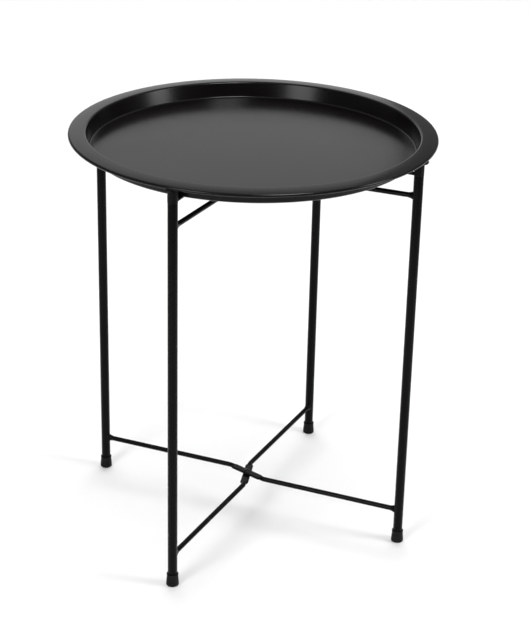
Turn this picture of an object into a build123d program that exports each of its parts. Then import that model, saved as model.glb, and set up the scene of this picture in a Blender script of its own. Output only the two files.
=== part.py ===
from build123d import *
from math import asin, cos, degrees, pi, radians, sin, sqrt, tan
import os

# Folding tray table: a round pressed tray on two H frames that fold about two rivets.
# Millimetres, +Z up, origin on the floor under the middle of the tray.
# Every frame has two upright tubes and two thin cross rods. The frames cross at the rivets.

# Driving dimensions
table_height = 535.0
tray_radius = 230.0
tray_depth = 22.0
sheet = 0.8
rim_width = 22.0
rim_slope = 3.4
wall_run = 3.8
floor_corner_radius = 2.4
rim_corner_radius = 1.6
curl_radius = 1.8
curl_turn = 270.0

tube_radius = 6.0
tube_wall = 1.0
rod_radius = 3.2
lower_pivot_height = 44.5
upper_pivot_drop = 53.0

paddle_thickness = 3.2
paddle_half_length = 22.0
paddle_taper = 4.0
kink_allowance = 3.1
kink_bend_radius = 14.0

rivet_radius = 2.5
rivet_head_radius = 4.6
rivet_head_height = 2.2
rivet_head_dome = 1.8
washer_radius = 4.5
washer_thickness = 0.4
running_play = 0.05

foot_flare = 2.0
foot_top_flare = 1.25
foot_height = 16.0
foot_floor = 4.0
foot_lip_height = 1.6
foot_edge = 0.8

head_proud = 0.2
head_edge = 0.6
plug_length = 22.0
lip_width = 7.0
lip_height = 4.6
lip_tip_height = 2.4
lip_inset = 0.4
tongue_width = 8.0
tongue_reach = 22.0
tongue_thickness = 1.8

weld_radius = 4.9
weld_toe_radius = 3.4
weld_length = 5.0
weld_wrap = 1.0

# Clearances
fit_gap = 0.05
seat_gap = 0.3
roll_gap = 0.4
fold_gap = 2.0

# Sizes that follow from the ones above
upper_pivot_height = table_height - upper_pivot_drop
floor_level = table_height - tray_depth + sheet / 2
rim_level = table_height - sheet / 2
wall_top_radius = tray_radius - rim_width
wall_foot_radius = wall_top_radius - wall_run
curl_outer_radius = curl_radius + sheet / 2
curl_start_radius = tray_radius - curl_outer_radius + curl_radius * sin(radians(rim_slope))
rim_drop = (curl_start_radius - wall_top_radius) * tan(radians(rim_slope))

tube_bore_radius = tube_radius - tube_wall
head_radius = tube_radius + head_proud
leg_circle_radius = tray_radius - 2 * curl_outer_radius - roll_gap - head_radius
foot_radius = tube_radius + foot_flare
foot_top_radius = tube_radius + foot_top_flare
frame_offset = foot_radius + fold_gap / 2
frame_reach = sqrt(leg_circle_radius**2 - frame_offset**2)
frame_turn = degrees(asin(frame_offset / leg_circle_radius))

head_top = table_height - rim_drop - sheet - seat_gap
lip_top = table_height - rim_drop - 2 * curl_outer_radius - seat_gap
tongue_top = table_height - tray_depth - seat_gap
tube_top = tongue_top - tongue_thickness - lip_inset
tube_bottom = foot_floor

paddle_flat = pi * (rod_radius**2 - paddle_thickness**2 / 4) / paddle_thickness
paddle_width = paddle_flat + paddle_thickness
paddle_end = paddle_half_length + paddle_taper
kink_distance = paddle_end + kink_allowance
paddle_tilt = degrees(asin(frame_offset / kink_distance))
kink_along = kink_distance * cos(radians(paddle_tilt))
taper_share = paddle_end / kink_distance
rod_spacing = paddle_thickness + washer_thickness + running_play
pivot_bore_radius = rivet_radius + running_play

# Each frame: the way its first leg lies, and the side of its centre plane that leg stands on
main_frame = {"angle": 135 + frame_turn, "side": -1, "rise": rod_spacing / 2}
swing_frame = {"angle": 225 - frame_turn, "side": 1, "rise": -rod_spacing / 2}
fold_angle = swing_frame["angle"] - main_frame["angle"]


def heading(angle):
    return Vector(cos(radians(angle)), sin(radians(angle)), 0)


def frame_plane(frame, height):
    return Plane((0, 0, height), x_dir=heading(frame["angle"]), z_dir=(0, 0, 1))


def leg_place(frame, end):
    spot = (end * frame_reach, end * frame["side"] * frame_offset, 0)
    return frame_plane(frame, 0).from_local_coords(spot)


def finish(piece, name):
    piece.part.label = name
    export_step(piece.part, f"parts/{name}.step")


def make_tray():
    # One pressed sheet: flat floor, steep wall, a rim that slopes a little outward
    # and an edge curled under.
    with BuildPart() as tray:
        with BuildSketch(Plane.XZ):
            with BuildLine():
                dish = FilletPolyline(
                    (0, floor_level),
                    (wall_foot_radius, floor_level),
                    (wall_top_radius, rim_level),
                    (curl_start_radius, rim_level - rim_drop),
                    radius=[floor_corner_radius, rim_corner_radius],
                )
                JernArc(dish @ 1, dish % 1, curl_radius, -curl_turn)
            trace(line_width=sheet)
        revolve(axis=Axis.Z)
    finish(tray, "tray")


def make_leg(name, frame, end):
    place = leg_place(frame, end)
    with BuildPart() as leg:
        with BuildSketch(Plane((place.X, place.Y, tube_bottom))):
            Circle(tube_radius)
            Circle(tube_bore_radius, mode=Mode.SUBTRACT)
        extrude(amount=tube_top - tube_bottom)
    finish(leg, name)


def make_foot(name, frame, end):
    # A rubber cup pushed over the tube's end, a little wider at the floor, with a lip on top.
    place = leg_place(frame, end)
    lip_level = foot_height - foot_lip_height
    bore_radius = tube_radius + fit_gap
    with BuildPart() as foot:
        with BuildSketch(Plane((place.X, place.Y, 0), x_dir=(1, 0, 0), z_dir=(0, -1, 0))):
            with BuildLine():
                Polyline(
                    (0, 0),
                    (foot_radius - foot_edge, 0),
                    (foot_radius, foot_edge),
                    (foot_top_radius - foot_edge / 2, lip_level),
                    (foot_top_radius, lip_level + foot_edge / 2),
                    (foot_top_radius, foot_height - foot_edge / 2),
                    (foot_top_radius - foot_edge / 2, foot_height),
                    (bore_radius, foot_height),
                    (bore_radius, foot_floor),
                    (0, foot_floor),
                    close=True,
                )
            make_face()
        revolve(axis=Axis((place.X, place.Y, 0), (0, 0, 1)))
    finish(foot, name)


def make_leg_cap(name, frame, end):
    # A moulded plug in the tube's end. Its head stands in the channel under the rim,
    # its lip lies under the curled edge and its tongue under the tray's floor.
    place = leg_place(frame, end)
    outward = Vector(place.X, place.Y, 0).normalized()
    seat = Plane((place.X, place.Y, tube_top), x_dir=outward, z_dir=(0, 0, 1))
    upright = Plane((place.X, place.Y, 0), x_dir=outward, z_dir=outward.cross(Vector(0, 0, 1)))
    lip_reach = tray_radius - lip_inset - leg_circle_radius
    with BuildPart() as cap:
        with BuildSketch(seat):
            Circle(head_radius)
        extrude(amount=head_top - tube_top)
        chamfer(cap.faces().sort_by(Axis.Z)[-1].edges(), length=head_edge)
        with BuildSketch(seat):
            Circle(tube_bore_radius - fit_gap)
        extrude(amount=-plug_length)
        chamfer(cap.faces().sort_by(Axis.Z)[0].edges(), length=head_edge)
        with BuildSketch(upright):
            with BuildLine():
                Polyline(
                    (0, lip_top),
                    (lip_reach, lip_top),
                    (lip_reach, lip_top - lip_tip_height),
                    (head_radius, lip_top - lip_height),
                    (0, lip_top - lip_height),
                    close=True,
                )
            make_face()
        extrude(amount=lip_width / 2, both=True)
        with BuildSketch(seat.offset(tongue_top - tongue_thickness - tube_top)):
            with Locations((-tongue_reach / 2, 0)):
                tongue = Rectangle(tongue_reach, tongue_width)
            fillet(tongue.vertices().group_by(Axis.X)[0], tongue_width / 3)
        extrude(amount=tongue_thickness)
    finish(cap, name)


def make_cross_rod(name, frame, pivot_height, bore_radius):
    # A round rod with its middle pressed flat and turned aside, so that each half runs
    # on its own side of the frame's centre plane and the folded frames lie side by side.
    level = frame_plane(frame, pivot_height + frame["rise"])
    tilt = frame["angle"] + frame["side"] * paddle_tilt
    across_paddle = heading(tilt + 90)
    with BuildPart() as rod:
        with BuildSketch(Plane(level.origin, x_dir=across_paddle, z_dir=heading(tilt))):
            SlotOverall(paddle_width, paddle_thickness)
        extrude(amount=paddle_half_length, both=True)
        for end in (1, -1):
            half = Plane(level.origin, x_dir=across_paddle, z_dir=end * heading(tilt))
            with BuildSketch(half.offset(paddle_half_length)):
                SlotOverall(paddle_width, paddle_thickness)
            with BuildSketch(half.offset(paddle_end)):
                Circle(rod_radius)
            loft()
            kink = (end * kink_along, end * frame["side"] * frame_offset)
            leg_end = (end * frame_reach, end * frame["side"] * frame_offset)
            taper_end = (kink[0] * taper_share, kink[1] * taper_share)
            with BuildLine(level) as run:
                FilletPolyline(taper_end, kink, leg_end, radius=kink_bend_radius)
            with BuildSketch(half.offset(paddle_end)):
                Circle(rod_radius)
            sweep(path=run.line)
            place = leg_place(frame, end)
            with Locations((place.X, place.Y, level.origin.Z)):
                Cylinder(tube_radius, 4 * tube_radius, mode=Mode.SUBTRACT)
        with Locations(level):
            Hole(bore_radius)
    finish(rod, name)


def make_welds(name, frame):
    # A flared bead round each end of both rods, shaped to the tube's side.
    with BuildPart() as welds:
        for pivot_height in (lower_pivot_height, upper_pivot_height):
            for end in (1, -1):
                place = leg_place(frame, end)
                start = Vector(place.X, place.Y, pivot_height + frame["rise"])
                inward = heading(frame["angle"]) * -end
                sideways = inward.cross(Vector(0, 0, 1))
                with BuildSketch(Plane(start, x_dir=inward, z_dir=sideways)):
                    with BuildLine():
                        Polyline(
                            (tube_radius + weld_length, weld_toe_radius),
                            (tube_radius + weld_length, rod_radius),
                            (0, rod_radius),
                            (0, weld_radius),
                            (tube_radius - weld_wrap, weld_radius),
                        )
                        RadiusArc(
                            (tube_radius - weld_wrap, weld_radius),
                            (tube_radius + weld_length, weld_toe_radius),
                            -2 * weld_length,
                        )
                    make_face()
                revolve(axis=Axis(start, inward))
        for end in (1, -1):
            place = leg_place(frame, end)
            with Locations((place.X, place.Y, table_height / 2)):
                Cylinder(tube_radius, table_height, mode=Mode.SUBTRACT)
    finish(welds, name)


def make_rivet(name, pivot_height):
    # The shank passes both paddles, with a formed head above and below.
    top = pivot_height + rod_spacing / 2 + paddle_thickness / 2
    bottom = pivot_height - rod_spacing / 2 - paddle_thickness / 2 - running_play
    with BuildPart() as rivet:
        with BuildSketch(Plane.XY.offset(bottom)):
            Circle(rivet_radius)
        extrude(amount=top - bottom)
        for level, way in ((top, 1), (bottom, -1)):
            with BuildSketch(Plane((0, 0, level), z_dir=(0, 0, way))):
                Circle(rivet_head_radius)
            extrude(amount=rivet_head_height)
        rims = rivet.edges().sort_by(Axis.Z)
        fillet([rims[0], rims[-1]], rivet_head_dome)
    finish(rivet, name)


def make_washer(name, pivot_height):
    top = pivot_height + rod_spacing / 2 - paddle_thickness / 2
    with BuildPart() as washer:
        with BuildSketch(Plane.XY.offset(top - washer_thickness)):
            Circle(washer_radius)
            Circle(rivet_radius + fit_gap, mode=Mode.SUBTRACT)
        extrude(amount=washer_thickness)
    finish(washer, name)


os.makedirs("parts", exist_ok=True)
make_tray()
for frame_name, frame in (("main", main_frame), ("swing", swing_frame)):
    bore_radius = rivet_radius if frame is main_frame else pivot_bore_radius
    for end_name, end in (("first", 1), ("second", -1)):
        make_leg(f"{frame_name}_{end_name}_leg", frame, end)
        make_foot(f"{frame_name}_{end_name}_foot", frame, end)
        make_leg_cap(f"{frame_name}_{end_name}_leg_cap", frame, end)
    make_cross_rod(f"{frame_name}_lower_cross_rod", frame, lower_pivot_height, bore_radius)
    make_cross_rod(f"{frame_name}_upper_cross_rod", frame, upper_pivot_height, bore_radius)
    make_welds(f"{frame_name}_rod_welds", frame)
for level_name, pivot_height in (("lower", lower_pivot_height), ("upper", upper_pivot_height)):
    make_rivet(f"{level_name}_pivot_rivet", pivot_height)
    make_washer(f"{level_name}_pivot_washer", pivot_height)
print("fold angle", round(fold_angle, 2))
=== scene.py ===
from math import asin, atan2, cos, degrees, pi, radians, sin, sqrt, tan

import bmesh
import bpy
from mathutils import Matrix, Vector, noise


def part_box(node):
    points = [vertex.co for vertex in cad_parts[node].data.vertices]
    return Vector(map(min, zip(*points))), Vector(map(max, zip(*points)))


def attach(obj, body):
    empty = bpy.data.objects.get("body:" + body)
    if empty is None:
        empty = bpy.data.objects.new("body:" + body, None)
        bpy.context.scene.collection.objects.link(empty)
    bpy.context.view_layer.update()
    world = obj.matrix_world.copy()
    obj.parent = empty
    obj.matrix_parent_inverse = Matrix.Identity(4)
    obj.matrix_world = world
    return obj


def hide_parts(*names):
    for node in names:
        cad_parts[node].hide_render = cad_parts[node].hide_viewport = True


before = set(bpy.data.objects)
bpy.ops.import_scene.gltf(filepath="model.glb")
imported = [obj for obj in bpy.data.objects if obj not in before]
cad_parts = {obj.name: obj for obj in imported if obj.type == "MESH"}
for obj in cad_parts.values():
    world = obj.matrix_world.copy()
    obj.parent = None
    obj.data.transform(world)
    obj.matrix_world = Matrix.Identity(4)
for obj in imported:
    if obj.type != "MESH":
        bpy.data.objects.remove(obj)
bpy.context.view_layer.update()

scene = bpy.context.scene
mm = 0.001
mergeDistance = 0.002 * mm
cutDistance = 0.0001 * mm

# The two frames, with the side of its middle plane that each one's first leg stands on
frameSides = {"main": -1, "swing": 1}
legNames = [f"{side}_{end}" for side in frameSides for end in ("first", "second")]
levels = ("lower", "upper")


def bodyOf(name):
    return "swing_frame" if name.startswith("swing") else "main_frame"


def middleOf(node):
    low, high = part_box(node)
    return (low + high) / 2


# Shaping helpers

def loosePoints(bm, points):
    # A line of points in the XZ plane, joined by edges
    line = [bm.verts.new((reach, 0, height)) for reach, height in points]
    for here, there in zip(line, line[1:]):
        bm.edges.new((here, there))
    return line


def roundCorner(bm, corner, cut, segments=4):
    # cut is how far before the corner the rounding starts
    bmesh.ops.bevel(bm, geom=[corner], offset=cut, offset_type="OFFSET", segments=segments,
                    profile=0.5, affect="VERTICES", material=-1)


def turnOutline(bm, outline, steps, closed=True, startAngle=0.0):
    # Turns an outline about Z. Every point is (radius, height, corner cut).
    line = loosePoints(bm, [(reach, height) for reach, height, cut in outline])
    if closed:
        bm.edges.new((line[-1], line[0]))
    for corner, (reach, height, cut) in zip(line, outline):
        if cut:
            roundCorner(bm, corner, cut)
    bmesh.ops.rotate(bm, verts=bm.verts[:], cent=(0, 0, 0), matrix=Matrix.Rotation(startAngle, 3, "Z"))
    bmesh.ops.spin(bm, geom=bm.verts[:] + bm.edges[:], cent=(0, 0, 0), axis=(0, 0, 1), dvec=(0, 0, 0),
                   angle=2 * pi, steps=steps, use_merge=True, use_duplicate=False)
    bmesh.ops.remove_doubles(bm, verts=bm.verts[:], dist=mergeDistance)
    bmesh.ops.recalc_face_normals(bm, faces=bm.faces[:])


def addLoop(bm, place, way):
    bmesh.ops.bisect_plane(bm, geom=bm.verts[:] + bm.edges[:] + bm.faces[:], dist=cutDistance,
                           plane_co=place, plane_no=way)


def intoPlace(bm, matrix):
    bmesh.ops.transform(bm, matrix=matrix, verts=bm.verts[:])


def finishPiece(bm, name, material, body, nodes, sharpAngle=38):
    mesh = bpy.data.meshes.new(name)
    bm.to_mesh(mesh)
    bm.free()
    mesh.shade_smooth()
    mesh.set_sharp_from_angle(angle=radians(sharpAngle))
    mesh.materials.append(material)
    piece = bpy.data.objects.new(name, mesh)
    scene.collection.objects.link(piece)
    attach(piece, body)
    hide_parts(*nodes)


# Shader effects that more than one material uses

def addNode(tree, kind, place, settings=None, values=None):
    node = tree.nodes.new(kind)
    node.location = place
    for key, value in (settings or {}).items():
        setattr(node, key, value)
    for key, value in (values or {}).items():
        node.inputs[key].default_value = value
    return node


def newGroup(name, inputs, outputs):
    group = bpy.data.node_groups.new(name, "ShaderNodeTree")
    for label, kind, value in inputs:
        socket = group.interface.new_socket(label, in_out="INPUT", socket_type=kind)
        if value is not None:
            socket.default_value = value
    for label, kind in outputs:
        group.interface.new_socket(label, in_out="OUTPUT", socket_type=kind)
    start = addNode(group, "NodeGroupInput", (-1200, 0))
    end = addNode(group, "NodeGroupOutput", (600, 0))
    return group, start, end


def makeOrangePeel():
    # Sprayed and baked powder: small soft bumps, slower waves and a slightly patchy gloss
    group, start, end = newGroup("powderCoatSkin", [
        ("Vector", "NodeSocketVector", None),
        ("Peel Scale", "NodeSocketFloat", 620.0),
        ("Wave Scale", "NodeSocketFloat", 42.0),
        ("Wave Amount", "NodeSocketFloat", 0.5),
        ("Color", "NodeSocketColor", (0.01, 0.01, 0.01, 1)),
        ("Thin Color", "NodeSocketColor", (0.02, 0.02, 0.02, 1)),
        ("Roughness", "NodeSocketFloat", 0.3),
        ("Roughness Spread", "NodeSocketFloat", 0.06),
    ], [("Color", "NodeSocketColor"), ("Roughness", "NodeSocketFloat"), ("Height", "NodeSocketFloat")])
    links = group.links
    peel = addNode(group, "ShaderNodeTexNoise", (-900, 300), values={"Detail": 2.0, "Roughness": 0.45})
    links.new(start.outputs["Vector"], peel.inputs["Vector"])
    links.new(start.outputs["Peel Scale"], peel.inputs["Scale"])
    wave = addNode(group, "ShaderNodeTexNoise", (-900, 0), values={"Detail": 1.0, "Roughness": 0.4})
    links.new(start.outputs["Vector"], wave.inputs["Vector"])
    links.new(start.outputs["Wave Scale"], wave.inputs["Scale"])
    waveHeight = addNode(group, "ShaderNodeMath", (-600, 0), {"operation": "MULTIPLY"})
    links.new(wave.outputs["Fac"], waveHeight.inputs[0])
    links.new(start.outputs["Wave Amount"], waveHeight.inputs[1])
    height = addNode(group, "ShaderNodeMath", (-300, 200), {"operation": "ADD"})
    links.new(peel.outputs["Fac"], height.inputs[0])
    links.new(waveHeight.outputs[0], height.inputs[1])
    links.new(height.outputs[0], end.inputs["Height"])
    patch = addNode(group, "ShaderNodeTexNoise", (-900, -300), values={
        "Scale": 9.0, "Detail": 5.0, "Roughness": 0.6})
    links.new(start.outputs["Vector"], patch.inputs["Vector"])
    spread = addNode(group, "ShaderNodeMapRange", (-600, -300), values={
        "From Min": 0.3, "From Max": 0.7, "To Min": -1.0, "To Max": 1.0})
    links.new(patch.outputs["Fac"], spread.inputs["Value"])
    gloss = addNode(group, "ShaderNodeMath", (-300, -200), {"operation": "MULTIPLY_ADD"})
    links.new(spread.outputs[0], gloss.inputs[0])
    links.new(start.outputs["Roughness Spread"], gloss.inputs[1])
    links.new(start.outputs["Roughness"], gloss.inputs[2])
    links.new(gloss.outputs[0], end.inputs["Roughness"])
    tint = addNode(group, "ShaderNodeMix", (0, -100), {"data_type": "RGBA"})
    links.new(patch.outputs["Fac"], tint.inputs["Factor"])
    links.new(start.outputs["Color"], tint.inputs["A"])
    links.new(start.outputs["Thin Color"], tint.inputs["B"])
    links.new(tint.outputs["Result"], end.inputs["Color"])
    return group


def makeMouldGrain():
    # Moulded rubber and plastic: an etched grain, and paler where it has been handled
    group, start, end = newGroup("mouldedSkin", [
        ("Vector", "NodeSocketVector", None),
        ("Grain Scale", "NodeSocketFloat", 1400.0),
        ("Color", "NodeSocketColor", (0.01, 0.01, 0.01, 1)),
        ("Rubbed Color", "NodeSocketColor", (0.03, 0.03, 0.03, 1)),
        ("Roughness", "NodeSocketFloat", 0.7),
        ("Roughness Spread", "NodeSocketFloat", 0.08),
    ], [("Color", "NodeSocketColor"), ("Roughness", "NodeSocketFloat"), ("Height", "NodeSocketFloat")])
    links = group.links
    grain = addNode(group, "ShaderNodeTexVoronoi", (-900, 200), {"feature": "SMOOTH_F1"}, {"Smoothness": 0.6})
    links.new(start.outputs["Vector"], grain.inputs["Vector"])
    links.new(start.outputs["Grain Scale"], grain.inputs["Scale"])
    links.new(grain.outputs["Distance"], end.inputs["Height"])
    rub = addNode(group, "ShaderNodeTexNoise", (-900, -200), values={
        "Scale": 120.0, "Detail": 6.0, "Roughness": 0.65})
    links.new(start.outputs["Vector"], rub.inputs["Vector"])
    rubbed = addNode(group, "ShaderNodeMapRange", (-600, -100), values={
        "From Min": 0.42, "From Max": 0.75, "To Min": 0.0, "To Max": 1.0})
    links.new(rub.outputs["Fac"], rubbed.inputs["Value"])
    tint = addNode(group, "ShaderNodeMix", (-300, 0), {"data_type": "RGBA"})
    links.new(rubbed.outputs[0], tint.inputs["Factor"])
    links.new(start.outputs["Color"], tint.inputs["A"])
    links.new(start.outputs["Rubbed Color"], tint.inputs["B"])
    links.new(tint.outputs["Result"], end.inputs["Color"])
    gloss = addNode(group, "ShaderNodeMath", (-300, -300), {"operation": "MULTIPLY_ADD"})
    links.new(rub.outputs["Fac"], gloss.inputs[0])
    links.new(start.outputs["Roughness Spread"], gloss.inputs[1])
    links.new(start.outputs["Roughness"], gloss.inputs[2])
    links.new(gloss.outputs[0], end.inputs["Roughness"])
    return group


def makeDust():
    # Fine dust that stays on faces that look up
    group, start, end = newGroup("settledDust", [
        ("Vector", "NodeSocketVector", None),
        ("Color", "NodeSocketColor", (0.01, 0.01, 0.01, 1)),
        ("Dust Color", "NodeSocketColor", (0.3, 0.29, 0.28, 1)),
        ("Amount", "NodeSocketFloat", 0.02),
    ], [("Color", "NodeSocketColor")])
    links = group.links
    shape = addNode(group, "ShaderNodeNewGeometry", (-900, 300))
    facing = addNode(group, "ShaderNodeSeparateXYZ", (-700, 300))
    links.new(shape.outputs["Normal"], facing.inputs[0])
    upward = addNode(group, "ShaderNodeMapRange", (-500, 300), values={
        "From Min": 0.5, "From Max": 1.0, "To Min": 0.0, "To Max": 1.0})
    links.new(facing.outputs["Z"], upward.inputs["Value"])
    speck = addNode(group, "ShaderNodeTexNoise", (-900, -100), values={
        "Scale": 260.0, "Detail": 8.0, "Roughness": 0.7})
    links.new(start.outputs["Vector"], speck.inputs["Vector"])
    settled = addNode(group, "ShaderNodeMapRange", (-600, -100), values={
        "From Min": 0.45, "From Max": 0.7, "To Min": 0.15, "To Max": 1.0})
    links.new(speck.outputs["Fac"], settled.inputs["Value"])
    both = addNode(group, "ShaderNodeMath", (-300, 150), {"operation": "MULTIPLY"})
    links.new(upward.outputs[0], both.inputs[0])
    links.new(settled.outputs[0], both.inputs[1])
    share = addNode(group, "ShaderNodeMath", (-100, 150), {"operation": "MULTIPLY"})
    links.new(both.outputs[0], share.inputs[0])
    links.new(start.outputs["Amount"], share.inputs[1])
    tint = addNode(group, "ShaderNodeMix", (200, 0), {"data_type": "RGBA"})
    links.new(share.outputs[0], tint.inputs["Factor"])
    links.new(start.outputs["Color"], tint.inputs["A"])
    links.new(start.outputs["Dust Color"], tint.inputs["B"])
    links.new(tint.outputs["Result"], end.inputs["Color"])
    return group


orangePeel = makeOrangePeel()
mouldGrain = makeMouldGrain()
dust = makeDust()


# Materials

def startMaterial(name, shaderValues):
    material = bpy.data.materials.new(name)
    material.use_nodes = True
    tree = material.node_tree
    shader = tree.nodes["Principled BSDF"]
    shader.location = (300, 0)
    for key, value in shaderValues.items():
        shader.inputs[key].default_value = value
    where = addNode(tree, "ShaderNodeTexCoord", (-1100, 0))
    return material, tree, shader, where.outputs["Object"]


def placeGroup(tree, group, place, vector, values):
    node = addNode(tree, "ShaderNodeGroup", place, {"node_tree": group}, values)
    tree.links.new(vector, node.inputs["Vector"])
    return node


def makeSurface(name, group, look):
    # One skin over the whole piece, with dust on the faces that look up and bumps from the skin's height
    material, tree, shader, vector = startMaterial(name, look["shader"])
    skin = placeGroup(tree, group, (-700, 0), vector, look["skin"])
    dusty = placeGroup(tree, dust, (-300, 100), vector, {"Amount": look["dust"]})
    tree.links.new(skin.outputs["Color"], dusty.inputs["Color"])
    tree.links.new(dusty.outputs["Color"], shader.inputs["Base Color"])
    tree.links.new(skin.outputs["Roughness"], shader.inputs["Roughness"])
    bump = addNode(tree, "ShaderNodeBump", (0, -300), values={"Distance": look["bump"], "Strength": 1.0})
    tree.links.new(skin.outputs["Height"], bump.inputs["Height"])
    tree.links.new(bump.outputs["Normal"], shader.inputs["Normal"])
    return material


coatLook = {
    "trayCoat": {
        "shader": {"IOR": 1.45, "Specular IOR Level": 0.15, "Coat Weight": 0.0},
        "skin": {"Peel Scale": 520.0, "Wave Scale": 30.0, "Wave Amount": 3.0,
                 "Color": (0.0027, 0.0022, 0.0023, 1), "Thin Color": (0.0052, 0.0044, 0.0045, 1),
                 "Roughness": 0.21, "Roughness Spread": 0.03},
        "bump": 0.006 * mm, "dust": 0.006,
    },
    "frameCoat": {
        "shader": {"IOR": 1.45, "Specular IOR Level": 0.09, "Coat Weight": 0.0},
        "skin": {"Peel Scale": 700.0, "Wave Scale": 90.0, "Wave Amount": 1.0,
                 "Color": (0.0014, 0.0013, 0.0014, 1), "Thin Color": (0.0032, 0.0030, 0.0031, 1),
                 "Roughness": 0.25, "Roughness Spread": 0.05},
        "bump": 0.008 * mm, "dust": 0.006,
    },
    "pivotCoat": {
        "shader": {"IOR": 1.45, "Specular IOR Level": 0.16, "Coat Weight": 0.0},
        "skin": {"Peel Scale": 900.0, "Wave Scale": 200.0, "Wave Amount": 1.2,
                 "Color": (0.0018, 0.0017, 0.0018, 1), "Thin Color": (0.008, 0.0075, 0.0076, 1),
                 "Roughness": 0.3, "Roughness Spread": 0.07},
        "bump": 0.012 * mm, "dust": 0.006,
    },
}

mouldLook = {
    "footRubber": {
        "shader": {"IOR": 1.45, "Specular IOR Level": 0.14},
        "skin": {"Grain Scale": 1500.0, "Color": (0.0034, 0.0034, 0.0033, 1),
                 "Rubbed Color": (0.010, 0.010, 0.0097, 1), "Roughness": 0.5, "Roughness Spread": 0.12},
        "bump": 0.03 * mm, "dust": 0.015,
    },
    "capPlastic": {
        "shader": {"IOR": 1.46, "Specular IOR Level": 0.10},
        "skin": {"Grain Scale": 2200.0, "Color": (0.0018, 0.0018, 0.0018, 1),
                 "Rubbed Color": (0.005, 0.005, 0.005, 1), "Roughness": 0.42, "Roughness Spread": 0.1},
        "bump": 0.02 * mm, "dust": 0.006,
    },
}

trayCoat = makeSurface("trayCoat", orangePeel, coatLook["trayCoat"])
frameCoat = makeSurface("frameCoat", orangePeel, coatLook["frameCoat"])
pivotCoat = makeSurface("pivotCoat", orangePeel, coatLook["pivotCoat"])
footRubber = makeSurface("footRubber", mouldGrain, mouldLook["footRubber"])
capPlastic = makeSurface("capPlastic", mouldGrain, mouldLook["capPlastic"])
print("materials made")


# The tray

trayShape = {
    "sheet": 0.8 * mm,
    "rimWidth": 22.0 * mm,      # from the wall's top to the outer edge
    "rimSlope": 3.4,            # degrees that the rim falls outward
    "wallRun": 3.8 * mm,        # how far the wall leans out over its height
    "floorCut": 1.9 * mm,       # rounding where the floor meets the wall
    "rimCut": 2.4 * mm,         # rounding where the wall meets the rim
    "curlRadius": 2.2 * mm,     # outside of the rolled edge
    "curlTurn": 270,
    "curlSteps": 20,
    "turnSteps": 224,
    "floorRings": (0.004, 0.03, 0.09, 0.15, 0.192),
}


def makeTray():
    shape = trayShape
    low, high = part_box("tray")
    floorTop = low.z + shape["sheet"]
    wallTop = high.x - shape["rimWidth"]
    wallFoot = wallTop - shape["wallRun"]
    slope = radians(shape["rimSlope"])
    curlMiddle = high.x - shape["curlRadius"]
    curlStart = curlMiddle + shape["curlRadius"] * sin(slope)
    curlTop = high.z - (curlStart - wallTop) * tan(slope)
    bm = bmesh.new()
    points = [(0, floorTop)] + [(ring, floorTop) for ring in shape["floorRings"]]
    points += [(wallFoot, floorTop), (wallTop, high.z), (curlStart, curlTop)]
    line = loosePoints(bm, points)
    foot, top, last = line[-3:]
    bmesh.ops.spin(bm, geom=[last], cent=(curlMiddle, 0, curlTop - shape["curlRadius"] * cos(slope)),
                   axis=(0, 1, 0), dvec=(0, 0, 0), angle=radians(shape["curlTurn"]),
                   steps=shape["curlSteps"], use_merge=False)
    roundCorner(bm, foot, shape["floorCut"], 8)
    roundCorner(bm, top, shape["rimCut"], 8)
    bmesh.ops.spin(bm, geom=bm.verts[:] + bm.edges[:], cent=(0, 0, 0), axis=(0, 0, 1), dvec=(0, 0, 0),
                   angle=2 * pi, steps=shape["turnSteps"], use_merge=True, use_duplicate=False)
    bmesh.ops.remove_doubles(bm, verts=bm.verts[:], dist=mergeDistance)
    bmesh.ops.recalc_face_normals(bm, faces=bm.faces[:])
    middleFace = min(bm.faces, key=lambda face: face.calc_center_median().xy.length)
    if middleFace.normal.z < 0:
        bmesh.ops.reverse_faces(bm, faces=bm.faces[:])
    bmesh.ops.solidify(bm, geom=bm.faces[:], thickness=shape["sheet"])
    finishPiece(bm, "tray_dish", trayCoat, "tray", ["tray"], sharpAngle=50)


makeTray()
print("tray made")


# The leg tubes

legShape = {"wall": 1.0 * mm, "edge": 0.25 * mm, "turnSteps": 48}


def makeLeg(name):
    shape = legShape
    node = f"{name}_leg"
    low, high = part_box(node)
    middle = middleOf(node)
    outer = (high.x - low.x) / 2
    bore = outer - shape["wall"]
    bm = bmesh.new()
    turnOutline(bm, [(outer, low.z, shape["edge"]), (outer, high.z, shape["edge"]),
                     (bore, high.z, shape["edge"]), (bore, low.z, shape["edge"])], shape["turnSteps"])
    intoPlace(bm, Matrix.Translation((middle.x, middle.y, 0)))
    finishPiece(bm, f"{name}_leg_tube", frameCoat, bodyOf(name), [node])


for name in legNames:
    makeLeg(name)
print("leg tubes made")


# The rubber feet

footShape = {
    "lipHeight": 2.0 * mm,
    "lipProud": 0.35 * mm,
    "lipStep": 0.3 * mm,        # rise of the step under the lip
    "lipStepRound": 0.15 * mm,
    "flareHeight": 3.4 * mm,    # where the wide base starts to narrow
    "flareIn": 0.1 * mm,
    "flareRound": 0.9 * mm,
    "neckRound": 0.25 * mm,
    "mouthRound": 0.2 * mm,
    "floorRound": 0.3 * mm,
    "neck": 0.95 * mm,          # how much thinner the cup is below the lip
    "soleRound": 1.3 * mm,
    "edge": 0.4 * mm,
    "wellDepth": 0.6 * mm,      # hollow in the sole
    "wellRadius": 4.6 * mm,
    "turnSteps": 56,
}


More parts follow.
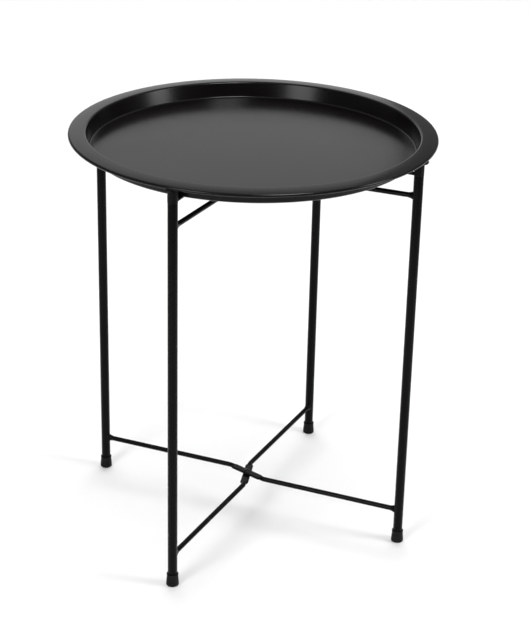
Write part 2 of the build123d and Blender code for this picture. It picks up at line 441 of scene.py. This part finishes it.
def makeFoot(name):
    shape = footShape
    node = f"{name}_foot"
    low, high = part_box(node)
    legLow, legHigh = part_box(f"{name}_leg")
    middle = middleOf(node)
    outer = (high.x - low.x) / 2
    bore = (legHigh.x - legLow.x) / 2
    neck = outer - shape["neck"]
    lipUnder = high.z - shape["lipHeight"]
    cupFloor = legLow.z
    bm = bmesh.new()
    turnOutline(bm, [
        (0, low.z + shape["wellDepth"], 0),
        (shape["wellRadius"], low.z + shape["wellDepth"], 0),
        (shape["wellRadius"] + shape["wellDepth"], low.z, shape["mouthRound"]),
        (outer, low.z, shape["soleRound"]),
        (outer - shape["flareIn"], low.z + shape["flareHeight"], shape["flareRound"]),
        (neck, lipUnder, shape["neckRound"]),
        (neck + shape["lipProud"], lipUnder + shape["lipStep"], shape["lipStepRound"]),
        (neck + shape["lipProud"], high.z, shape["edge"]),
        (bore, high.z, shape["mouthRound"]),
        (bore, cupFloor, shape["floorRound"]),
        (0, cupFloor, 0),
    ], shape["turnSteps"], closed=False)
    intoPlace(bm, Matrix.Translation((middle.x, middle.y, 0)))
    finishPiece(bm, f"{name}_foot_cup", footRubber, bodyOf(name), [node])


for name in legNames:
    makeFoot(name)
print("feet made")


# The leg caps

capShape = {
    "headRadius": 6.2 * mm,
    "plugRadius": 4.95 * mm,
    "edge": 0.6 * mm,
    "lipDrop": 3.6 * mm,        # from the head's top down to the lip's top
    "lipThickness": 4.6 * mm,
    "lipTip": 2.4 * mm,
    "tongueThickness": 1.8 * mm,
    "tongueLift": 0.4 * mm,
    "tongueReach": 22 * mm,
    "rimGap": 0.4 * mm,         # how far the lip stops short of the tray's edge
    "seatRound": 0.15 * mm,
    "turnSteps": 40,
    "lipHalfAngle": 31.5,
    "tongueHalfAngle": 40.5,
}


def pullOut(bm, way, halfAngle, lowZ, highZ, reach):
    # Pulls the side faces between two heights straight out to reach, and returns the points that moved
    picked = []
    for face in bm.faces:
        centre = face.calc_center_median()
        turn = abs(degrees(atan2(centre.y, centre.x * way)))
        flatTop = abs(face.normal.z) > 0.5
        if turn < halfAngle and lowZ < centre.z < highZ and not flatTop:
            picked.append(face)
    pulled = bmesh.ops.extrude_face_region(bm, geom=picked)["geom"]
    bmesh.ops.delete(bm, geom=picked, context="FACES_KEEP_BOUNDARY")
    points = [part for part in pulled if isinstance(part, bmesh.types.BMVert)]
    for point in points:
        point.co.x = way * reach
    return points


def makeLegCap(name):
    shape = capShape
    node = f"{name}_leg_cap"
    low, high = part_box(node)
    legLow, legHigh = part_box(f"{name}_leg")
    middle = middleOf(f"{name}_leg")
    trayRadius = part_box("tray")[1].x
    lipTop = high.z - shape["lipDrop"]
    lipUnder = lipTop - shape["lipThickness"]
    tongueUnder = legHigh.z + shape["tongueLift"]
    tongueTop = tongueUnder + shape["tongueThickness"]
    head, plug, edge = shape["headRadius"], shape["plugRadius"], shape["edge"]
    bm = bmesh.new()
    turnOutline(bm, [
        (0, high.z, 0), (head, high.z, edge), (head, lipTop, 0), (head, lipUnder, 0), (head, tongueTop, 0),
        (head, tongueUnder, 0), (head, legHigh.z, shape["seatRound"]), (plug, legHigh.z, 0),
        (plug, low.z, edge), (0, low.z, 0),
    ], shape["turnSteps"], closed=False, startAngle=pi / shape["turnSteps"])
    lipReach = trayRadius - shape["rimGap"] - middle.xy.length
    lip = pullOut(bm, 1, shape["lipHalfAngle"], lipUnder, lipTop, lipReach)
    for point in lip:
        if point.co.z < lipUnder + 0.1 * mm:
            point.co.z = lipTop - shape["lipTip"]
    pullOut(bm, -1, shape["tongueHalfAngle"], tongueUnder, tongueTop, shape["tongueReach"])
    bmesh.ops.recalc_face_normals(bm, faces=bm.faces[:])
    outward = Matrix.Rotation(atan2(middle.y, middle.x), 4, "Z")
    intoPlace(bm, Matrix.Translation((middle.x, middle.y, 0)) @ outward)
    finishPiece(bm, f"{name}_cap", capPlastic, bodyOf(name), [node])


for name in legNames:
    makeLegCap(name)
print("leg caps made")


# The cross rods

rodShape = {
    "sideStep": 9 * mm,         # how far each leg stands off its frame's middle plane
    "paddleThickness": 3.2 * mm,
    "paddleHalfLength": 22 * mm,
    "paddleTaper": 4 * mm,
    "kinkDistance": 29.1 * mm,
    "bendRadius": 14 * mm,
    "sink": 0.55 * mm,          # how far the end goes into the tube's wall
    "sides": 36,
    "flatLoops": (0.25, 0.7),   # extra loops on the flat, as shares of its half length
    "taperLoops": 8,
    "bendLoops": 10,
}


def frameAngle(side):
    # The way that a frame's straight runs lie, from the place of its first leg
    leg = middleOf(f"{side}_first_leg")
    return atan2(leg.y, leg.x) - frameSides[side] * asin(rodShape["sideStep"] / leg.xy.length)


def pressFlat(points, radius, shape):
    # Presses the middle of a round bar to a flat with round edges; the round ends stay as they are
    half = shape["paddleThickness"] / 2
    flat = pi * (radius ** 2 - half ** 2) / (2 * half) / 2
    shoulder = sqrt(radius ** 2 - half ** 2)
    for point in points:
        share = (abs(point.co.x) - shape["paddleHalfLength"]) / shape["paddleTaper"]
        share = 1 - min(max(share, 0), 1)
        share = share * share * (3 - 2 * share)
        y, z = point.co.y, point.co.z
        if abs(z) > half:
            pressed = (y / shoulder * flat, half if z > 0 else -half)
        else:
            edge = flat + sqrt(half ** 2 - z ** 2)
            pressed = (edge if y > 0 else -edge, z)
        point.co.y = y + (pressed[0] - y) * share
        point.co.z = z + (pressed[1] - z) * share


def bendEnds(points, start, radius, angle):
    # Bends both ends of a bar that lies along X, each the same way round about Z
    for point in points:
        end = 1 if point.co.x >= 0 else -1
        along = abs(point.co.x) - start
        if along <= 0:
            continue
        across = point.co.y * end
        turned = min(along / radius, abs(angle))
        rest = along - radius * turned
        way = 1 if angle > 0 else -1
        x = start + (radius - way * across) * sin(turned) + rest * cos(turned)
        y = way * (radius - (radius - way * across) * cos(turned)) + way * rest * sin(turned)
        point.co.x, point.co.y = end * x, end * y


def makeRod(side, level):
    shape = rodShape
    node = f"{side}_{level}_cross_rod"
    low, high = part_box(node)
    leg = middleOf(f"{side}_first_leg")
    legLow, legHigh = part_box(f"{side}_first_leg")
    tubeRadius = (legHigh.x - legLow.x) / 2
    radius = (high.z - low.z) / 2
    tilt = asin(shape["sideStep"] / shape["kinkDistance"])
    tangent = shape["bendRadius"] * tan(tilt / 2)
    bendStart = shape["kinkDistance"] - tangent
    reach = sqrt(leg.xy.length ** 2 - shape["sideStep"] ** 2)
    straight = reach - tubeRadius + shape["sink"] - shape["kinkDistance"] * cos(tilt) - tangent
    halfLength = bendStart + shape["bendRadius"] * tilt + straight
    bm = bmesh.new()
    bmesh.ops.create_cone(bm, cap_ends=True, segments=shape["sides"], radius1=radius, radius2=radius,
                          depth=2 * halfLength)
    intoPlace(bm, Matrix.Rotation(pi / 2, 4, "Y"))
    loops = [shape["paddleHalfLength"] + shape["paddleTaper"] * step / shape["taperLoops"]
             for step in range(shape["taperLoops"] + 1)]
    loops += [bendStart + shape["bendRadius"] * tilt * step / shape["bendLoops"]
              for step in range(shape["bendLoops"] + 1)]
    loops += [share * shape["paddleHalfLength"] for share in shape["flatLoops"]]
    for place in sorted(loops):
        addLoop(bm, (place, 0, 0), (1, 0, 0))
        addLoop(bm, (-place, 0, 0), (1, 0, 0))
    pressFlat(bm.verts, radius, shape)
    bendEnds(bm.verts, bendStart, shape["bendRadius"], -frameSides[side] * tilt)
    bmesh.ops.recalc_face_normals(bm, faces=bm.faces[:])
    turn = Matrix.Rotation(frameAngle(side) + frameSides[side] * tilt, 4, "Z")
    intoPlace(bm, Matrix.Translation((0, 0, (low.z + high.z) / 2)) @ turn)
    finishPiece(bm, f"{side}_{level}_rod", frameCoat, bodyOf(side), [node], sharpAngle=60)


for side in frameSides:
    for level in levels:
        makeRod(side, level)
print("cross rods made")


# The weld beads

weldShape = {
    "radius": 4.9 * mm,         # at the tube
    "toe": 3.45 * mm,           # at the rod
    "length": 5.0 * mm,
    "inner": 3.1 * mm,
    "sunk": 0.4 * mm,           # how far the bead starts inside the tube's wall
    "footHeight": 0.5 * mm,     # straight part beside the tube
    "footRound": 0.3 * mm,
    "toeRound": 0.1 * mm,
    "ripple": 0.10 * mm,
    "ripples": 9,
    "flareSteps": 8,
    "turnSteps": 48,
}


def makeWelds(side):
    shape = weldShape
    group = bmesh.new()
    for level in levels:
        rodMiddle = middleOf(f"{side}_{level}_cross_rod").z
        for end in ("first", "second"):
            legLow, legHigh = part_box(f"{side}_{end}_leg")
            leg = (legLow + legHigh) / 2
            tubeRadius = (legHigh.x - legLow.x) / 2
            bm = bmesh.new()
            # The bead stands on Z first: the tube's side at 0 and the toe on the rod at its length
            foot = shape["footHeight"]
            outline = [(shape["inner"], -shape["sunk"], 0), (shape["radius"], -shape["sunk"], 0),
                       (shape["radius"], foot, shape["footRound"])]
            for step in range(1, shape["flareSteps"]):
                share = step / shape["flareSteps"]
                flare = shape["toe"] + (shape["radius"] - shape["toe"]) * (1 - share) ** 2
                outline.append((flare, foot + (shape["length"] - foot) * share, 0))
            outline += [(shape["toe"], shape["length"], shape["toeRound"]),
                        (shape["inner"], shape["length"], 0)]
            turnOutline(bm, outline, shape["turnSteps"])
            for point in bm.verts:
                reach = point.co.xy.length
                if reach > shape["inner"] + 0.05 * mm:
                    turn = atan2(point.co.y, point.co.x)
                    wobble = sin(turn * shape["ripples"] + 5 * point.co.z / shape["length"])
                    wobble += noise.noise(Vector((cos(turn) * 2, sin(turn) * 2, leg.x * 50 + rodMiddle * 30)))
                    point.co.xy *= 1 + shape["ripple"] * wobble / reach
                # The tube falls away to both sides of the rod, and the bead follows it
                fall = tubeRadius - sqrt(tubeRadius ** 2 - min(abs(point.co.x), tubeRadius) ** 2)
                point.co.z -= fall * max(0.0, 1 - point.co.z / shape["length"])
            inward = Vector((cos(frameAngle(side)), sin(frameAngle(side)), 0)) * (-1 if end == "first" else 1)
            sideways = inward.cross(Vector((0, 0, 1)))
            turned = Matrix((sideways, (0, 0, 1), inward)).transposed().to_4x4()
            if turned.determinant() < 0:
                turned = Matrix((-sideways, Vector((0, 0, 1)), inward)).transposed().to_4x4()
            start = Vector((leg.x, leg.y, rodMiddle)) + inward * tubeRadius
            intoPlace(bm, Matrix.Translation(start) @ turned)
            part = bpy.data.meshes.new("bead")
            bm.to_mesh(part)
            bm.free()
            group.from_mesh(part)
            bpy.data.meshes.remove(part)
    node = f"{side}_rod_welds"
    finishPiece(group, f"{side}_weld_beads", frameCoat, bodyOf(side), [node], sharpAngle=60)


for side in frameSides:
    makeWelds(side)
print("weld beads made")


# The rivets and washers

rivetShape = {
    "shankRadius": 2.5 * mm,
    "headHeight": 2.2 * mm,
    "dome": 1.7 * mm,
    "crown": 0.45,              # radius of the flatter crown, as a share of the head's
    "crownDrop": 0.12 * mm,
    "crownRound": 0.5 * mm,
    "domeRound": 0.9 * mm,
    "underRound": 0.2 * mm,
    "turnSteps": 48,
}
washerShape = {"boreRadius": 2.55 * mm, "edge": 0.1 * mm, "turnSteps": 48}


def makeRivet(level):
    shape = rivetShape
    node = f"{level}_pivot_rivet"
    low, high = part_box(node)
    head = high.x
    bm = bmesh.new()
    crown, drop = head * shape["crown"], shape["crownDrop"]
    upper = [(crown, high.z - drop, shape["crownRound"]), (head, high.z - shape["dome"], shape["domeRound"]),
             (head, high.z - shape["headHeight"], shape["underRound"]),
             (shape["shankRadius"], high.z - shape["headHeight"], 0)]
    lower = [(shape["shankRadius"], low.z + shape["headHeight"], 0),
             (head, low.z + shape["headHeight"], shape["underRound"]),
             (head, low.z + shape["dome"], shape["domeRound"]), (crown, low.z + drop, shape["crownRound"])]
    outline = [(0, high.z, 0)] + upper + lower + [(0, low.z, 0)]
    turnOutline(bm, outline, shape["turnSteps"], closed=False)
    finishPiece(bm, f"{level}_rivet", pivotCoat, "main_frame", [node])


def makeWasher(level):
    shape = washerShape
    node = f"{level}_pivot_washer"
    low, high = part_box(node)
    bm = bmesh.new()
    turnOutline(bm, [(high.x, low.z, shape["edge"]), (high.x, high.z, shape["edge"]),
                     (shape["boreRadius"], high.z, 0), (shape["boreRadius"], low.z, 0)], shape["turnSteps"])
    finishPiece(bm, f"{level}_washer", pivotCoat, "main_frame", [node])


for level in levels:
    makeRivet(level)
    makeWasher(level)
print("rivets and washers made")


# Camera, floor and light

cameraPlace = {
    "distance": 1.9000,         # over the floor, from the table's middle
    "height": 1.1552,
    "round": -20.68,            # degrees round the table, from its -Y side towards +X
    "aside": 0.761,
    "down": 21.671,
    "roll": 1.425,
    "lens": 90.22,
    "shift": (-0.01, -0.14),
}


def makeCamera():
    place = cameraPlace
    data = bpy.data.cameras.new("camera")
    data.sensor_width = 36
    data.lens = place["lens"]
    data.shift_x, data.shift_y = place["shift"]
    data.clip_start, data.clip_end = 0.05, 60
    camera = bpy.data.objects.new("camera", data)
    scene.collection.objects.link(camera)
    turn = radians(place["round"])
    camera.location = (place["distance"] * sin(turn), -place["distance"] * cos(turn), place["height"])
    heading = turn - radians(place["aside"])
    look = Matrix.Rotation(heading, 3, "Z") @ Matrix.Rotation(radians(90 - place["down"]), 3, "X")
    camera.rotation_euler = (look @ Matrix.Rotation(radians(place["roll"]), 3, "Z")).to_euler()
    scene.camera = camera


def makeFloor():
    bm = bmesh.new()
    bmesh.ops.create_circle(bm, cap_ends=True, segments=96, radius=9)
    mesh = bpy.data.meshes.new("floor")
    bm.to_mesh(mesh)
    bm.free()
    floor = bpy.data.objects.new("floor", mesh)
    scene.collection.objects.link(floor)
    material, tree, shader, vector = startMaterial("paleFloor", {"IOR": 1.3, "Specular IOR Level": 0.0})
    mottle = addNode(tree, "ShaderNodeTexNoise", (-700, 0), values={"Scale": 1.5, "Detail": 2.0})
    tree.links.new(vector, mottle.inputs["Vector"])
    tint = addNode(tree, "ShaderNodeMix", (-300, 0), {"data_type": "RGBA"})
    tint.inputs["A"].default_value = (0.83, 0.83, 0.83, 1)
    tint.inputs["B"].default_value = (0.85, 0.85, 0.85, 1)
    tree.links.new(mottle.outputs["Fac"], tint.inputs["Factor"])
    tree.links.new(tint.outputs["Result"], shader.inputs["Base Color"])
    shader.inputs["Roughness"].default_value = 0.9
    mesh.materials.append(material)


# Soft boxes: turn round the table from its -Y side towards +X, distance and height of the middle in metres,
# width and height of the box, and the height over the floor that it is aimed at
softBoxes = {
    "frontLeft": {"turn": -56, "distance": 1.75, "height": 1.0,
                  "size": (0.6, 0.95), "power": 20, "aim": 0.8},
    "rightSide": {"turn": 54, "distance": 1.75, "height": 1.0,
                  "size": (0.5, 0.95), "power": 18, "aim": 0.8},
    "backPanel": {"turn": 165.5, "distance": 1.2, "height": 0.92,
                  "size": (0.88, 0.92), "power": 1.85, "aim": 0.92},
    "frontGleam": {"turn": 4, "distance": 1.15, "height": 1.95,
                   "size": (0.6, 0.6), "power": 45, "aim": 0.2},
    "backWash": {"turn": 160, "distance": 3.0, "height": 3.2,
                 "size": (4.5, 1.3), "power": 85, "aim": -0.4},
}
floorOnly = ("backWash",)       # lights the far floor and is not mirrored in the coats
gleamOnly = ("frontGleam",)     # shows only as highlights, mostly on the tray's corners
topLight = {"strength": 1.75, "spread": 100, "turn": 130, "lean": 6}


def aimLamp(name, kind, place, target):
    lamp = bpy.data.objects.new(name, bpy.data.lights.new(name, kind))
    scene.collection.objects.link(lamp)
    lamp.location = place
    lamp.rotation_euler = (Vector(target) - Vector(place)).to_track_quat("-Z", "Y").to_euler()
    lamp.visible_glossy = name not in floorOnly
    lamp.visible_diffuse = name not in gleamOnly
    return lamp.data


def makeLights():
    for name, box in softBoxes.items():
        turn = radians(box["turn"])
        place = (box["distance"] * sin(turn), -box["distance"] * cos(turn), box["height"])
        data = aimLamp(name, "AREA", place, (0, 0, box["aim"]))
        data.shape = "RECTANGLE"
        data.size, data.size_y = box["size"]
        data.energy = box["power"]
    lean, turn = radians(topLight["lean"]), radians(topLight["turn"])
    place = (3 * sin(lean) * sin(turn), -3 * sin(lean) * cos(turn), 3 * cos(lean))
    data = aimLamp("topLight", "SUN", place, (0, 0, 0))
    data.energy = topLight["strength"]
    data.angle = radians(topLight["spread"])


studio = {
    "wallBright": 0.31,
    "ceiling": 0.12,
    "frontDark": 0.05,
    "darkTurn": -20,            # where the dark side of the room is, round the table
}


def makeRoom():
    # Pale walls behind and at the sides, a darker ceiling, and the dark room behind the camera
    world = bpy.data.worlds.new("studio")
    scene.world = world
    world.use_nodes = True
    tree = world.node_tree
    background = tree.nodes["Background"]
    where = addNode(tree, "ShaderNodeTexCoord", (-1200, 0))
    turn = radians(studio["darkTurn"])
    facing = addNode(tree, "ShaderNodeVectorMath", (-1000, 200), {"operation": "DOT_PRODUCT"})
    facing.inputs[1].default_value = (sin(turn), -cos(turn), 0)
    tree.links.new(where.outputs["Generated"], facing.inputs[0])
    rising = addNode(tree, "ShaderNodeSeparateXYZ", (-1000, -100))
    tree.links.new(where.outputs["Generated"], rising.inputs[0])
    wall = addNode(tree, "ShaderNodeMapRange", (-750, -100), {"interpolation_type": "SMOOTHSTEP"}, {
        "From Min": 0.15, "From Max": 0.75, "To Min": studio["wallBright"], "To Max": studio["ceiling"]})
    tree.links.new(rising.outputs["Z"], wall.inputs["Value"])
    shade = addNode(tree, "ShaderNodeMapRange", (-450, 0), {"interpolation_type": "SMOOTHSTEP"}, {
        "From Min": 0.1, "From Max": 0.85, "To Max": studio["frontDark"]})
    tree.links.new(facing.outputs["Value"], shade.inputs["Value"])
    tree.links.new(wall.outputs[0], shade.inputs["To Min"])
    tree.links.new(shade.outputs[0], background.inputs["Strength"])
    background.inputs["Color"].default_value = (1, 1, 1, 1)


makeCamera()
makeFloor()
makeLights()
makeRoom()
scene.view_settings.view_transform = "Standard"
print("camera, floor and light made")
